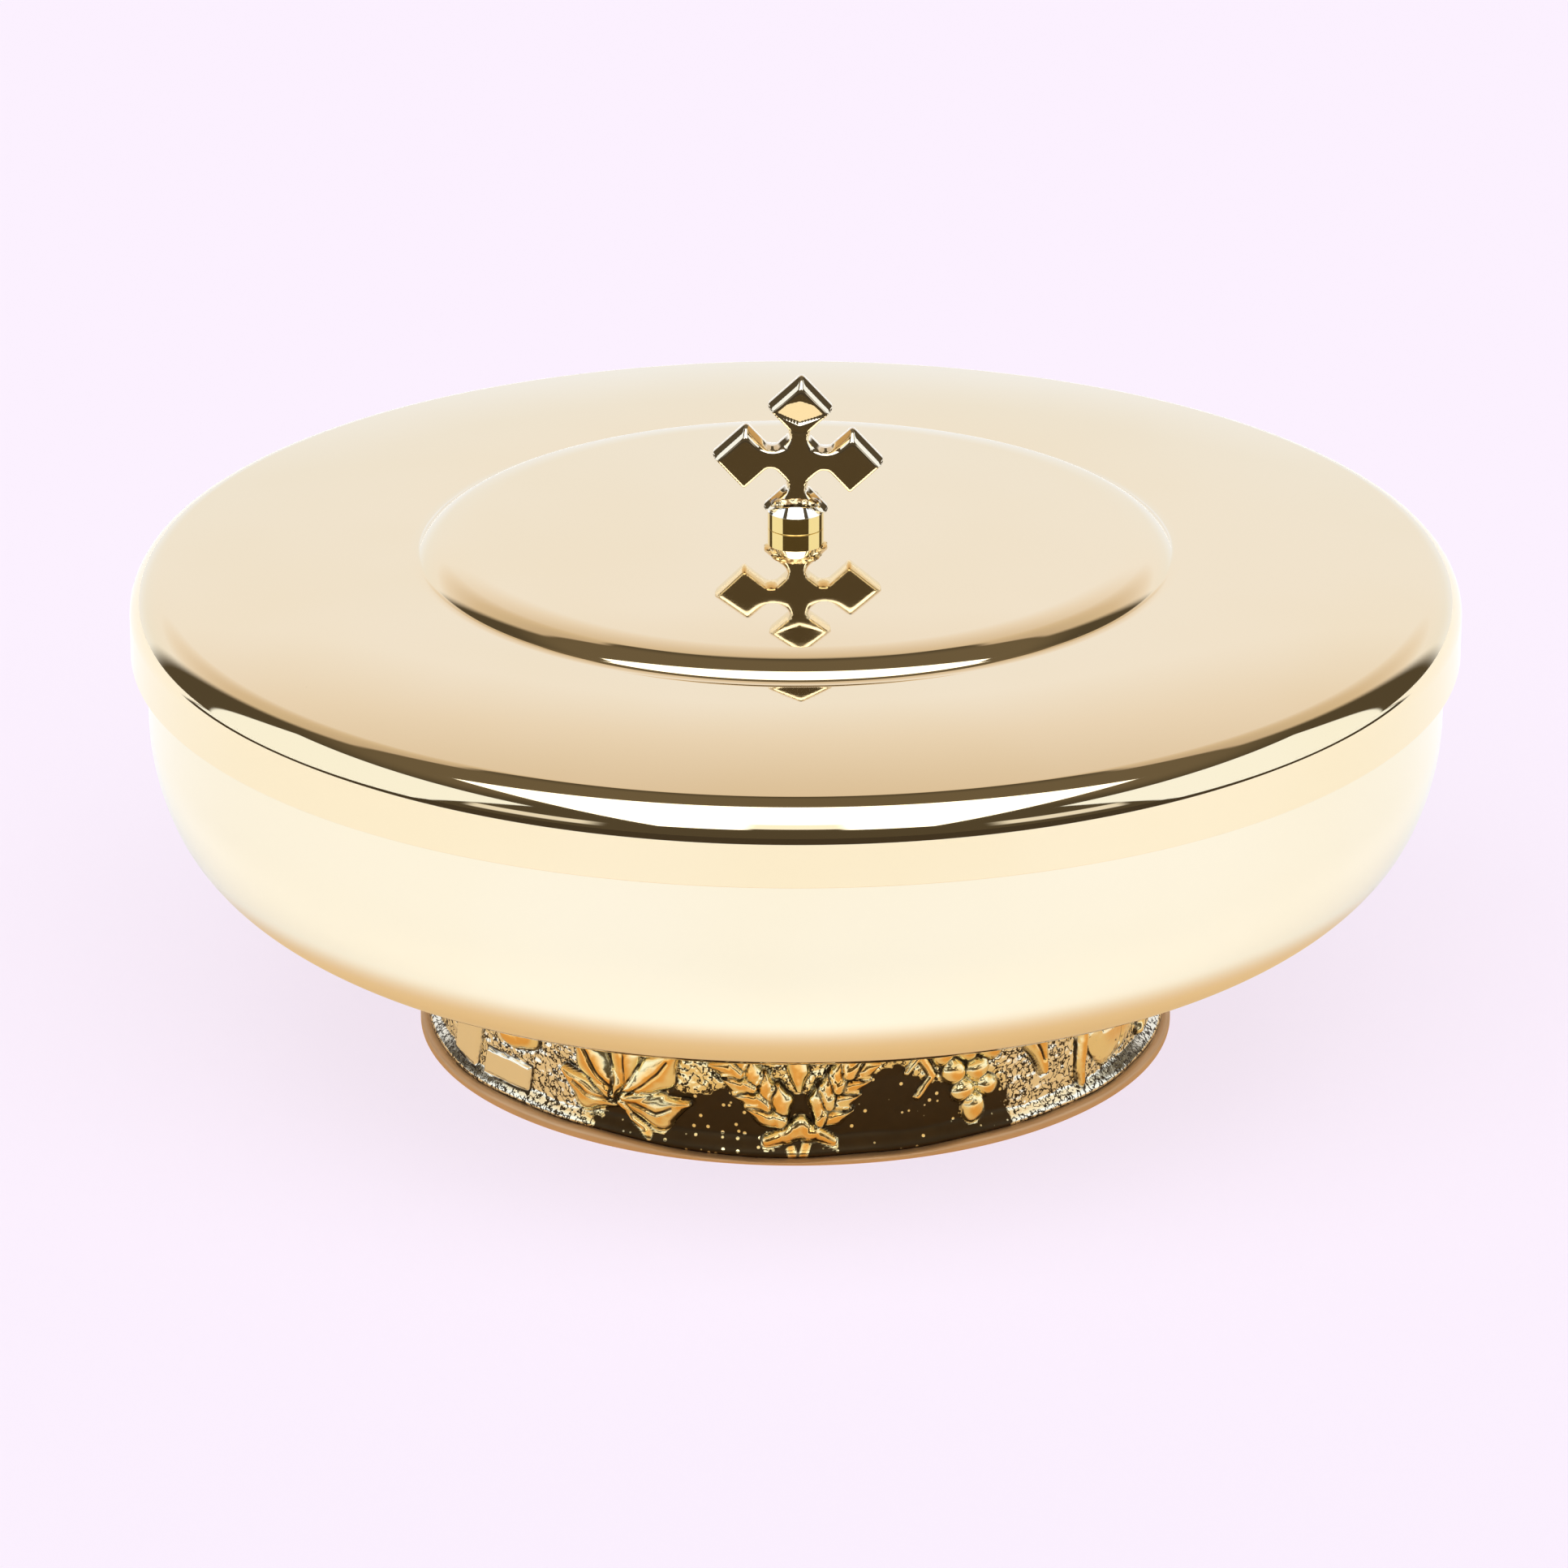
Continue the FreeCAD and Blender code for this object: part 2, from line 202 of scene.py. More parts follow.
def makeWorld():
    world = bpy.data.worlds.new("studioLight")
    bpy.context.scene.world = world
    world.use_nodes = True
    tree = world.node_tree
    tree.nodes.clear()
    out = tree.nodes.new("ShaderNodeOutputWorld")
    light = tree.nodes.new("ShaderNodeBackground")
    direction = tree.nodes.new("ShaderNodeTexCoord").outputs["Generated"]
    parts = tree.nodes.new("ShaderNodeSeparateXYZ")
    tree.links.new(direction, parts.inputs[0])
    x, y, z = parts.outputs
    front = product(tree, y, -1.0)
    width = calc(tree, "MAXIMUM", calc(tree, "ABSOLUTE", x), 0.001)
    azimuth = calc(tree, "DEGREES", calc(tree, "ARCTAN2", width, front))
    elevation = calc(tree, "DEGREES", calc(tree, "ARCSINE", z))

    colour = colourMix(tree, rise(tree, elevation, *studio["ceilingFrom"]), studio["dark"], studio["ceiling"])

    ramp = tree.nodes.new("ShaderNodeValToRGB")
    stops, peak = studio["sweep"], studio["sweepPeak"]
    straight = product(tree, rise(tree, azimuth, *studio["liftSides"]),
                       rise(tree, elevation, *studio["liftHeight"]))
    level = calc(tree, "SUBTRACT", elevation, product(tree, straight, studio["sweepLift"]))
    tree.links.new(calc(tree, "DIVIDE", level, stops[-1][0]), ramp.inputs[0])
    points = ramp.color_ramp.elements
    while len(points) < len(stops):
        points.new(0.5)
    for point, (level, tone) in zip(points, stops):
        point.position = level / stops[-1][0]
        point.color = (*[v / peak for v in tone], 1.0)
    brighter = tree.nodes.new("ShaderNodeVectorMath")
    brighter.operation = "SCALE"
    tree.links.new(ramp.outputs[0], brighter.inputs[0])
    brighter.inputs["Scale"].default_value = peak
    overTop = calc(tree, "SUBTRACT", elevation, rise(tree, azimuth, *studio["sweepTop"]))
    inSweep = product(tree, rise(tree, azimuth, *studio["sweepSides"]),
                      rise(tree, overTop, studio["sweepSoft"], -studio["sweepSoft"]))
    colour = colourMix(tree, inSweep, colour, brighter.outputs[0])

    inCorner = product(tree, within(tree, azimuth, studio["cornerSides"]),
                       within(tree, elevation, studio["cornerHeight"]))
    colour = colourMix(tree, inCorner, colour, studio["corner"])

    across = calc(tree, "DIVIDE", front, width)
    above = calc(tree, "DIVIDE", z, width)
    edge, lean = studio["sideFront"]
    slant = calc(tree, "SUBTRACT", calc(tree, "ADD", product(tree, above, lean), edge), across)
    inSide = product(tree, rise(tree, across, *studio["sideBack"]), rise(tree, slant, -0.01, 0.02),
                     rise(tree, above, *studio["sideTop"]))
    colour = colourMix(tree, inSide, colour, studio["side"])

    height = calc(tree, "MAXIMUM", z, 0.001)
    flatX = calc(tree, "DIVIDE", calc(tree, "ABSOLUTE", x), height)
    flatY = calc(tree, "DIVIDE", y, height)
    flatX = calc(tree, "ADD", flatX, product(tree, flatY, studio["overheadFlare"]))
    half, (nearEdge, farEdge) = studio["overheadHalf"], studio["overheadReach"]
    softSide, softNear, softFar = studio["overheadSoft"]
    inOverhead = product(tree, rise(tree, flatX, half + softSide, half - softSide),
                         rise(tree, flatY, nearEdge - softNear, nearEdge + softNear),
                         rise(tree, flatY, farEdge + softFar, farEdge - softFar))
    layers = [rise(tree, elevation, top, full, 0.0, share) for top, full, share in studio["shadeLayers"]]
    shade = product(tree, rise(tree, azimuth, *studio["shadeSides"]), calc(tree, "ADD", *layers))
    inOverhead = product(tree, inOverhead, calc(tree, "SUBTRACT", 1.0, shade))
    colour = colourMix(tree, inOverhead, colour, studio["overhead"])

    ray = tree.nodes.new("ShaderNodeLightPath")
    seen = calc(tree, "MAXIMUM", ray.outputs["Is Camera Ray"], ray.outputs["Is Transmission Ray"])
    colour = colourMix(tree, seen, colour, studio["background"])
    tree.links.new(colour, light.inputs["Color"])
    tree.links.new(light.outputs[0], out.inputs["Surface"])
    world.cycles.sampling_method = "MANUAL"
    world.cycles.sample_map_resolution = 1024


def makeFloor():
    half = studio["floorSize"] / 2
    mesh = bpy.data.meshes.new("floor")
    corners = [(-half, -half, 0), (half, -half, 0), (half, half, 0), (-half, half, 0)]
    mesh.from_pydata(corners, [], [(0, 1, 2, 3)])
    floor = bpy.data.objects.new("floor", mesh)
    bpy.context.scene.collection.objects.link(floor)
    material = bpy.data.materials.new("paleFloor")
    material.use_nodes = True
    tree = material.node_tree
    shader = next(n for n in tree.nodes if n.type == "BSDF_PRINCIPLED")
    shader.inputs["Roughness"].default_value = 1.0
    shader.inputs["Specular IOR Level"].default_value = 0.0
    parts = tree.nodes.new("ShaderNodeSeparateXYZ")
    tree.links.new(objectPoint(tree), parts.inputs[0])
    x, y = parts.outputs[:2]
    ahead = calc(tree, "DIVIDE", calc(tree, "MINIMUM", y, 0.0), studio["tableFront"])
    aside = calc(tree, "DIVIDE", x, studio["tableSide"])
    reach = distance(tree, ahead, aside)
    wide = calc(tree, "MAXIMUM", calc(tree, "ABSOLUTE", x), 0.001)
    inFront = rise(tree, calc(tree, "DIVIDE", y, wide), *studio["tableBack"])
    beyond = product(tree, rise(tree, reach, *studio["tableEdge"]), inFront)
    radius = distance(tree, x, y)
    # painted shadow: the mirrored floor turns darker and orange under the bowl
    shaded = rise(tree, radius, *studio["underBowl"])
    table = colourMix(tree, shaded, studio["table"], studio["paintedShadowUnderBowl"])
    table = colourMix(tree, beyond, table, studio["beyondTable"])
    across = calc(tree, "DIVIDE", product(tree, y, -1.0), wide)
    underSide = product(tree, rise(tree, across, *studio["sideBack"]),
                        rise(tree, across, *studio["sideFoot"]), rise(tree, wide, *studio["sideFootFrom"]))
    table = colourMix(tree, underSide, table, studio["side"])
    ray = tree.nodes.new("ShaderNodeLightPath")
    colour = colourMix(tree, ray.outputs["Is Glossy Ray"], studio["background"], table)
    tree.links.new(colour, shader.inputs["Base Color"])
    glow = tree.nodes.new("ShaderNodeEmission")
    glow.inputs["Color"].default_value = (*studio["background"], 1.0)
    direct = calc(tree, "MAXIMUM", ray.outputs["Is Camera Ray"], ray.outputs["Is Transmission Ray"])
    both = tree.nodes.new("ShaderNodeMixShader")
    tree.links.new(product(tree, direct, studio["floorEven"]), both.inputs[0])
    tree.links.new(shader.outputs[0], both.inputs[1])
    tree.links.new(glow.outputs[0], both.inputs[2])
    warm = tree.nodes.new("ShaderNodeEmission")
    warm.inputs["Color"].default_value = (*studio["byFoot"], 1.0)
    lit = tree.nodes.new("ShaderNodeMixShader")
    near = product(tree, rise(tree, radius, *studio["byFootReach"]), ray.outputs["Is Glossy Ray"])
    tree.links.new(product(tree, near, studio["byFootShare"]), lit.inputs[0])
    tree.links.new(both.outputs[0], lit.inputs[1])
    tree.links.new(warm.outputs[0], lit.inputs[2])
    clear = tree.nodes.new("ShaderNodeMixShader")    # from below, the floor lets the underside show
    tree.links.new(tree.nodes.new("ShaderNodeNewGeometry").outputs["Backfacing"], clear.inputs[0])
    tree.links.new(lit.outputs[0], clear.inputs[1])
    tree.links.new(tree.nodes.new("ShaderNodeBsdfTransparent").outputs[0], clear.inputs[2])
    out = next(n for n in tree.nodes if n.type == "OUTPUT_MATERIAL")
    tree.links.new(clear.outputs[0], out.inputs["Surface"])
    mesh.materials.append(material)


viewpoint = {
    "lens": 174.8,
    "sensor": 36.0,
    "place": (-0.001665, -1.0226, 0.4410),
    "tilt": 68.38,                           # degrees, 90 looks level
}


def makeCamera():
    data = bpy.data.cameras.new("camera")
    data.lens = viewpoint["lens"]
    data.sensor_width = viewpoint["sensor"]
    data.clip_end = 50.0
    camera = bpy.data.objects.new("camera", data)
    bpy.context.scene.collection.objects.link(camera)
    camera.location = viewpoint["place"]
    camera.rotation_euler = (math.radians(viewpoint["tilt"]), 0.0, 0.0)
    bpy.context.scene.camera = camera


makeWorld()
makeFloor()
makeCamera()
bpy.context.scene.view_settings.view_transform = "Standard"
print("studio, floor and camera made")


# turned metal: a profile goes round the axis, with its own exact normals

def outline(start, heading, steps, offset=0.0, fine=1.5):
    points = []                              # radius, height, and the normal to the right of the path
    x, z = start
    for step in steps:
        angle = math.radians(heading)
        left = (-math.sin(angle), math.cos(angle))
        if step[0] == "line":
            for share in (0.0, 0.25, 0.5, 0.75, 1.0):
                px, pz = x + math.cos(angle) * step[1] * share, z + math.sin(angle) * step[1] * share
                points.append((px + left[0] * offset, pz + left[1] * offset, -left[0], -left[1]))
            x, z = px, pz
            continue
        radius, sweep = step[1:]
        side = math.copysign(1, sweep)
        cx, cz = x + left[0] * side * radius, z + left[1] * side * radius
        count = max(6, math.ceil(abs(sweep) / fine))
        for i in range(count + 1):
            angle = math.radians(heading + sweep * i / count)
            spoke = (math.sin(angle) * side, -math.cos(angle) * side)
            reach = radius - side * offset
            points.append((cx + spoke[0] * reach, cz + spoke[1] * reach, spoke[0] * side, spoke[1] * side))
        x, z = cx + spoke[0] * radius, cz + spoke[1] * radius
        heading += sweep
    return points


def backwards(points):
    return [(x, z, -nx, -nz) for x, z, nx, nz in reversed(points)]


def tidyLoop(points):
    kept = []
    for p in points:
        if not kept or math.hypot(p[0] - kept[-1][0], p[1] - kept[-1][1]) > 1e-4:
            kept.append(p)
    if math.hypot(kept[0][0] - kept[-1][0], kept[0][1] - kept[-1][1]) < 1e-4:
        kept.pop()
    return kept


def softLoop(corners, fine):
    points = []                              # corners are x, z and rounding, counterclockwise
    for i, corner in enumerate(corners):
        here, before, after = (Vector(corners[k % len(corners)][:2]) for k in (i, i - 1, i + 1))
        incoming, outgoing = (here - before).normalized(), (after - here).normalized()
        turn = math.atan2(incoming.x * outgoing.y - incoming.y * outgoing.x, incoming.dot(outgoing))
        start = here - incoming * corner[2] * math.tan(abs(turn) / 2)
        heading = math.degrees(math.atan2(incoming.y, incoming.x))
        points += outline(tuple(start), heading, [("arc", corner[2], math.degrees(turn))], fine=fine)
    return points


def meshOf(name, spots, faces):
    mesh = bpy.data.meshes.new(name)
    mesh.from_pydata((spots * mm).tolist(), [], faces)
    mesh.validate()
    mesh.shade_smooth()
    return mesh


def addObject(name, mesh):
    piece = bpy.data.objects.new(name, mesh)
    bpy.context.scene.collection.objects.link(piece)
    return piece


def turned(name, points, segments=360):
    points = tidyLoop(points)
    angles = np.linspace(0, 2 * math.pi, segments, endpoint=False)
    ring = np.stack([np.cos(angles), np.sin(angles)], 1)
    spots, normals, first = [], [], []
    for x, z, nx, nz in points:
        first.append(sum(len(s) for s in spots))
        if x < 1e-3:
            spots.append(np.array([[0.0, 0.0, z]]))
            normals.append(np.array([[0.0, 0.0, math.copysign(1.0, nz)]]))
        else:
            spots.append(np.column_stack([ring * x, np.full(segments, z)]))
            normals.append(np.column_stack([ring * nx, np.full(segments, nz)]))
    faces = []
    around = np.arange(segments)
    nextOne = (around + 1) % segments
    pairs = len(points) if points[0][0] >= 1e-3 else len(points) - 1
    for i in range(pairs):
        j = (i + 1) % len(points)
        lone, other = points[i][0] < 1e-3, points[j][0] < 1e-3
        if lone and other:
            continue
        if lone:
            faces += [(first[i], first[j] + b, first[j] + a) for a, b in zip(around, nextOne)]
        elif other:
            faces += [(first[i] + a, first[i] + b, first[j]) for a, b in zip(around, nextOne)]
        else:
            faces += [(first[i] + a, first[i] + b, first[j] + b, first[j] + a)
                      for a, b in zip(around, nextOne)]
    mesh = meshOf(name, np.concatenate(spots), [tuple(int(v) for v in f) for f in faces])
    mesh.normals_split_custom_set_from_vertices(np.concatenate(normals).tolist())
    return addObject(name, mesh)


def settle(piece, material, body, node):
    piece.data.materials.clear()
    piece.data.materials.append(material)
    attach(piece, body)
    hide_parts(node)


# gold finishes

mirror = {
    "gold": (0.945, 0.800, 0.545),
    "goldWarm": (0.935, 0.785, 0.520),
    "roughLow": 0.018,
    "roughHigh": 0.045,
    "lineStrength": 0.02,
    "pit": (0.30, 0.22, 0.12),
    "pitShare": 0.93,
    "patches": 22.0,
}


def mirrorGold(name, setting):
    material, tree, shader = finish(name)
    point = objectPoint(tree)
    colour = colourMix(tree, rise(tree, noise(tree, point, setting["patches"]), 0.35, 0.65),
                       setting["gold"], setting["goldWarm"])
    # paler above a given height; on the collar's crown this is a painted highlight
    if "paleAbove" in setting:
        parts = tree.nodes.new("ShaderNodeSeparateXYZ")
        tree.links.new(point, parts.inputs[0])
        level = setting["paleAbove"] * mm
        above = rise(tree, parts.outputs[2], level - 0.0001, level + 0.0001)
        colour = colourMix(tree, above, colour, setting["pale"])
    pits = specks(tree, point, 150.0, 0.030, 0.018, setting["pitShare"])     # left by the polishing
    colour = colourMix(tree, product(tree, pits, 0.5), colour, setting["pit"])
    tree.links.new(colour, shader.inputs["Base Color"])
    smear = rise(tree, noise(tree, alongLathe(tree, point), 900.0, 3.0), 0.3, 0.7,
                 setting["roughLow"], setting["roughHigh"])
    tree.links.new(smear, shader.inputs["Roughness"])
    lines = noise(tree, alongLathe(tree, point), 2500.0, 2.0)
    tree.links.new(bump(tree, lines, setting["lineStrength"], 0.00002), shader.inputs["Normal"])
    return material


lidGold = mirrorGold("lidMirrorGold", mirror)
bowlGold = mirrorGold("bowlMirrorGold", {**mirror, "gold": (0.945, 0.845, 0.640),
                                         "goldWarm": (0.94, 0.835, 0.620)})


# lid

lid = {
    "sheet": 1.2,
    "skirt": 6.1,
    "shoulderRound": 5.3,
    "domeSlope": 7.0,
    "seat": 9.5,                             # flat middle under the finial
    "disc": 46.5,
    "crownSlope": 2.6,                       # degrees, at the disc's edge
    "step": ((7.3, 0.0, 10.0), (1.0, 10.0, 43.0), (6.4, 43.0, 10.2), (29.0, 10.2, 2.6)),   # radius, slopes
    "hole": 1.7,
    "edgeRound": 0.35,
}


def makeLid():
    low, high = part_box("lid_shell")
    radius, bottom = high.x / mm, low.z / mm
    slope, crown = math.radians(lid["domeSlope"]), math.radians(lid["crownSlope"])
    stepReach = sum(size * abs(math.sin(math.radians(first)) - math.sin(math.radians(last)))
                    for size, first, last in lid["step"])
    domeReach = radius - lid["shoulderRound"] * (1 - math.sin(slope)) - stepReach - lid["disc"]
    soft = lid["edgeRound"]
    steps = [("line", lid["skirt"] - soft),
             ("arc", lid["shoulderRound"], 90 - lid["domeSlope"]),
             ("arc", domeReach / math.sin(slope), lid["domeSlope"])]
    steps += [("arc", size, first - last) for size, first, last in lid["step"]]
    steps += [("arc", (lid["disc"] - lid["seat"]) / math.sin(crown), lid["crownSlope"]),
              ("line", lid["seat"] - lid["hole"])]
    start = (radius, bottom + soft)
    outer = outline(start, 90, steps, fine=0.75)
    inner = backwards(outline(start, 90, steps, lid["sheet"], fine=0.75))
    cut = outline((radius - lid["sheet"], bottom + soft), 270, [("arc", soft, 90)], fine=9)
    cut += outline((radius - soft, bottom), 0, [("arc", soft, 90)], fine=9)
    piece = turned("lid_spun", outer + inner + cut)
    settle(piece, lidGold, "lid", "lid_shell")


makeLid()
print("lid made")


# bowl

bowl = {
    "sheet": 1.2,
    "flat": 53.5,
    "sideRound": 32.5,
    "sideTurn": 23.0,
    "heelRound": 20.2,
    "heelTurn": 43.0,
}


def makeBowl():
    low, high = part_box("bowl_shell")
    radius, bottom, rim = high.x / mm, low.z / mm, high.z / mm
    floorTurn = 90 - bowl["sideTurn"] - bowl["heelTurn"]
    sideShare, floorShare = math.cos(math.radians(bowl["sideTurn"])), math.sin(math.radians(floorTurn))
    sideReach = bowl["sideRound"] * (1 - sideShare)
    heelReach = bowl["heelRound"] * (sideShare - floorShare)
    floorRound = (radius - bowl["flat"] - sideReach - heelReach) / floorShare
    steps = [("line", bowl["flat"]), ("arc", floorRound, floorTurn),
             ("arc", bowl["heelRound"], bowl["heelTurn"]), ("arc", bowl["sideRound"], bowl["sideTurn"])]
    wallStart = outline((0.0, bottom), 0, steps)[-1][1]
    half = bowl["sheet"] / 2
    steps.append(("line", rim - half - wallStart))
    outer = outline((0.0, bottom), 0, steps, fine=0.75)
    inner = backwards(outline((0.0, bottom), 0, steps, bowl["sheet"], fine=0.75))
    lip = outline((radius, rim - half), 90, [("arc", half, 180)], fine=9)
    piece = turned("bowl_spun", outer + lip + inner)
    settle(piece, bowlGold, "vessel", "bowl_shell")


makeBowl()
print("bowl made")


# collar and cross on the lid

collar = {
    "radius": 4.0,
    "hole": 1.55,
    "wall": 2.45,                            # upright part of its side
    "footRound": 0.12,
    "edgeRound": 0.12,
    "crownSlope": 57.65,                     # degrees, up to the solder round the cross
    "gold": (0.94, 0.80, 0.42),
    "goldWarm": (0.93, 0.78, 0.40),
    "crownPaintedHighlight": (0.98, 0.94, 0.86),         # painted highlight: the crown is made near white so its reflections read white
}


def makeCollar():
    low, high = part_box("finial_collar")
    bottom, top = low.z / mm, high.z / mm
    radius, foot, soft, slope = (collar[k] for k in ("radius", "footRound", "edgeRound", "crownSlope"))
    shoulder = bottom + collar["wall"]
    upright = collar["wall"] - foot - soft * math.tan(math.radians(90 - slope) / 2)
    loop = outline((radius - foot, bottom), 0, [("arc", foot, 90), ("line", upright),
                                                ("arc", soft, 90 - slope)], fine=4)
    x, z = loop[-1][:2]
    loop += outline((x, z), 180 - slope, [("line", (top - z) / math.sin(math.radians(slope)))])
    x, z = loop[-1][:2]
    loop += outline((x, z), 180, [("line", x - collar["hole"])])
    loop += outline((collar["hole"], z), 270, [("line", z - bottom)])
    loop += outline((collar["hole"], bottom), 0, [("line", radius - foot - collar["hole"])])
    gold = mirrorGold("collarGold", {**mirror, "gold": collar["gold"], "goldWarm": collar["goldWarm"],
                                     "pale": collar["crownPaintedHighlight"], "paleAbove": shoulder})
    piece = turned("collar_turned", loop, segments=200)
    settle(piece, gold, "lid", "finial_collar")


cross = {
    "half": 4.8,                             # centre to corner of a lozenge, before rounding
    "pitch": 7.55,
    "cut": 0.3,                              # the lowest lozenge ends this far under its centre
    "foot": 2.8,                             # its underside above the disc
    "notchRound": 1.2,
    "cornerRound": 0.60,
    "wall": 0.45,                            # half the upright wall left between its two faces
    "thickness": 4.6,
    # how steep its face is, at so far in from the edges that look up and from those that look down
    "upper": ((0.0, 66.0), (0.55, 66.0), (0.60, 61.0), (1.00, 33.0), (1.35, 0.0)),
    "lower": ((0.0, 78.0), (0.12, 74.0), (0.40, 0.0)),
    "lean": 2.4,
    "facet": {"wide": 4.3, "down": 2.0, "up": 1.6, "tilt": 6.2, "run": 0.25},
    "grid": 0.17,
    "rings": (0.0, 0.02, 0.06, 0.12, 0.20, 0.28),
    "waviness": 0.003,
    "gold": (0.94, 0.84, 0.65),
    "goldWarm": (0.935, 0.825, 0.625),
}


def crossOutline():
    half, pitch, soft, tip = (cross[k] for k in ("half", "pitch", "notchRound", "cornerRound"))
    notch, neck = pitch / 2, half - pitch / 2
    corners = []                             # x, z and rounding, counterclockwise from the right arm
    for a, b in ((1, 0), (0, 1), (-1, 0)):
        for along, aside, size in ((notch, -neck, soft), (pitch, -half, tip), (pitch + half, 0, tip),
                                   (pitch, half, tip), (notch, neck, soft)):
            corners.append((along * a - aside * b, along * b + aside * a, size))
    low = pitch + cross["cut"]
    corners += [(-neck, -notch, soft), (-half, -pitch, tip), (cross["cut"] - half, -low, 0.12),
                (half - cross["cut"], -low, 0.12), (half, -pitch, tip), (neck, -notch, soft)]
    points = softLoop(corners, fine=6)
    filled = []
    for i, p in enumerate(points):           # straight runs get points of their own
        q = points[(i + 1) % len(points)]
        gap = math.hypot(q[0] - p[0], q[1] - p[1])
        if gap < 1e-5:
            continue
        pieces = max(1, round(gap / cross["grid"]))
        for k in range(pieces):
            t = k / pieces
            nx, nz = p[2] + (q[2] - p[2]) * t, p[3] + (q[3] - p[3]) * t
            size = math.hypot(nx, nz)
            filled.append((p[0] + (q[0] - p[0]) * t, p[1] + (q[1] - p[1]) * t, nx / size, nz / size))
    return np.array(filled)


def reachTo(spots, line, chosen):
    best = np.full(len(spots), 1e9)          # distance from each spot to the chosen stretches of the outline
    for i in np.flatnonzero(chosen):
        a, b = line[i, :2], line[(i + 1) % len(line), :2]
        along = b - a
        t = np.clip(((spots - a) @ along) / max(along @ along, 1e-12), 0, 1)
        best = np.minimum(best, np.hypot(*(spots - a - t[:, None] * along).T))
    return best


def insideOf(spots, line):
    inside = np.zeros(len(spots), bool)
    for i in range(len(line)):
        (ax, az), (bx, bz) = line[i, :2], line[(i + 1) % len(line), :2]
        crossing = (az > spots[:, 1]) != (bz > spots[:, 1])
        if az != bz:
            inside ^= crossing & (spots[:, 0] < (bx - ax) * (spots[:, 1] - az) / (bz - az) + ax)
    return inside


def softReach(spots, line, chosen, near):
    total = np.zeros(len(spots))             # like reachTo, but rounded where two edges meet
    ends = np.roll(line[:, :2], -1, axis=0)
    for i in np.flatnonzero(chosen):
        size = math.hypot(*(ends[i] - line[i, :2]))
        middle = (ends[i] + line[i, :2]) / 2
        total += size / np.maximum(((spots - middle) ** 2).sum(1), 1e-4) ** 2
    smooth = (np.maximum(total, 1e-9) / (math.pi / 2)) ** (-1 / 3)
    share = np.clip((near - 0.12) / 0.35, 0, 1)
    return near * (1 - share) + smooth * share


def slopeHeight(reach, slopes):
    along = np.linspace(0, slopes[-1][0], 400)
    tilt = np.interp(along, [s[0] for s in slopes], [s[1] for s in slopes])
    rate = np.tan(np.radians(tilt))
    height = np.concatenate([[0], np.cumsum((rate[1:] + rate[:-1]) / 2 * np.diff(along))])
    return np.interp(reach, along, height), height[-1]


